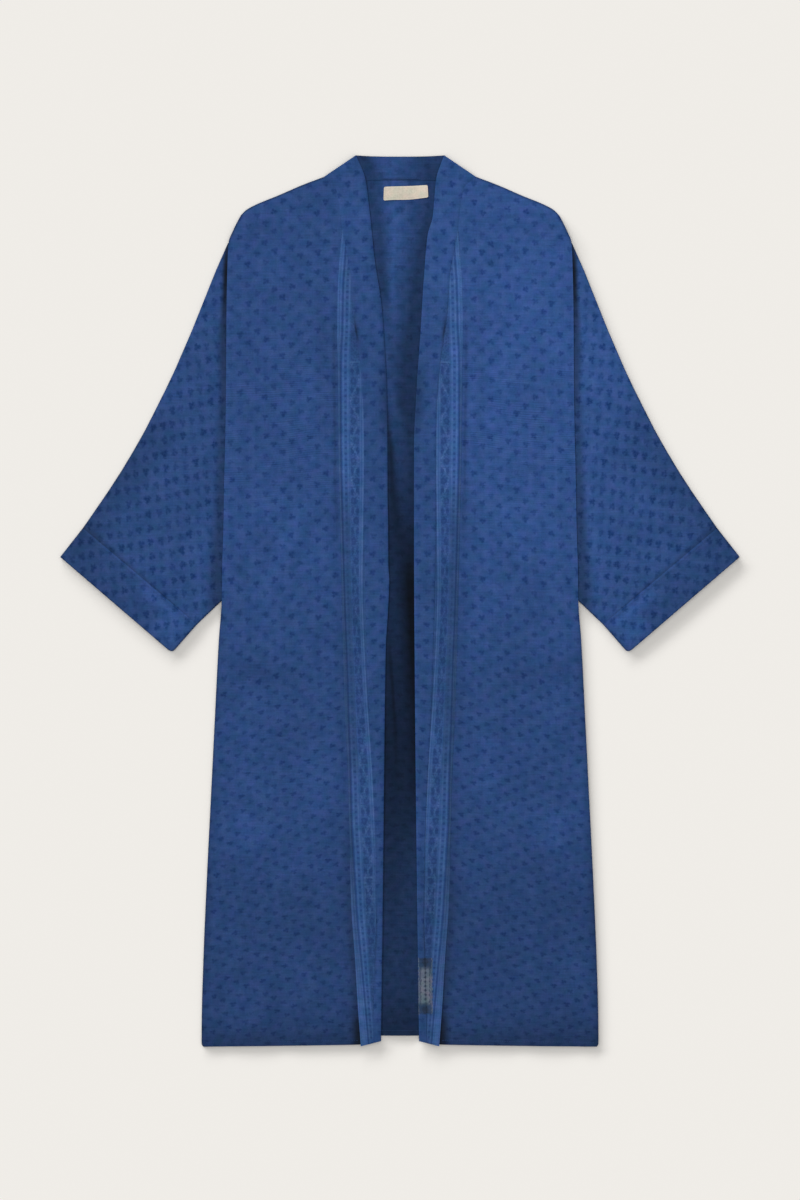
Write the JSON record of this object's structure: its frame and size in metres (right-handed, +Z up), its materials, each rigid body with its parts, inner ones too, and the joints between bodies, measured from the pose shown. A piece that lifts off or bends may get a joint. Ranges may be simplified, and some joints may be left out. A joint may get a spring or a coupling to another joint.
{
  "type": "kimono robe",
  "caption": "Open-front kimono robe of thin woven cloth with wide cuffed sleeves, a neckband and printed border strips, laid flat on its back.",
  "frame": {"origin": "on the surface that the robe lies on, under the middle of its outline", "axes": "+X to the right as the laid robe is seen from above, +Y towards the neck, +Z up from the surface"},
  "size_m": [0.9172, 1.203, 0.0051],
  "materials": {
    "cloth": "soft plain weave with a small dark printed sprig",
    "cloth_inside": "the same cloth seen from its shaded inside",
    "band": "the same cloth, folded double",
    "border": "lighter printed border with lines, dots and small ornaments",
    "label": "bare woven tape"
  },
  "bodies": {
    "root": {"back_panel": "cloth_inside", "front_left": "cloth", "front_right": "cloth", "sleeve_left": "cloth", "sleeve_right": "cloth", "cuff_left": "cloth", "cuff_right": "cloth", "band_back_neck": "band", "band_left": "band", "band_right": "band", "border_left": "border", "border_right": "border", "neck_label": "label"}
  },
  "joints": []
}
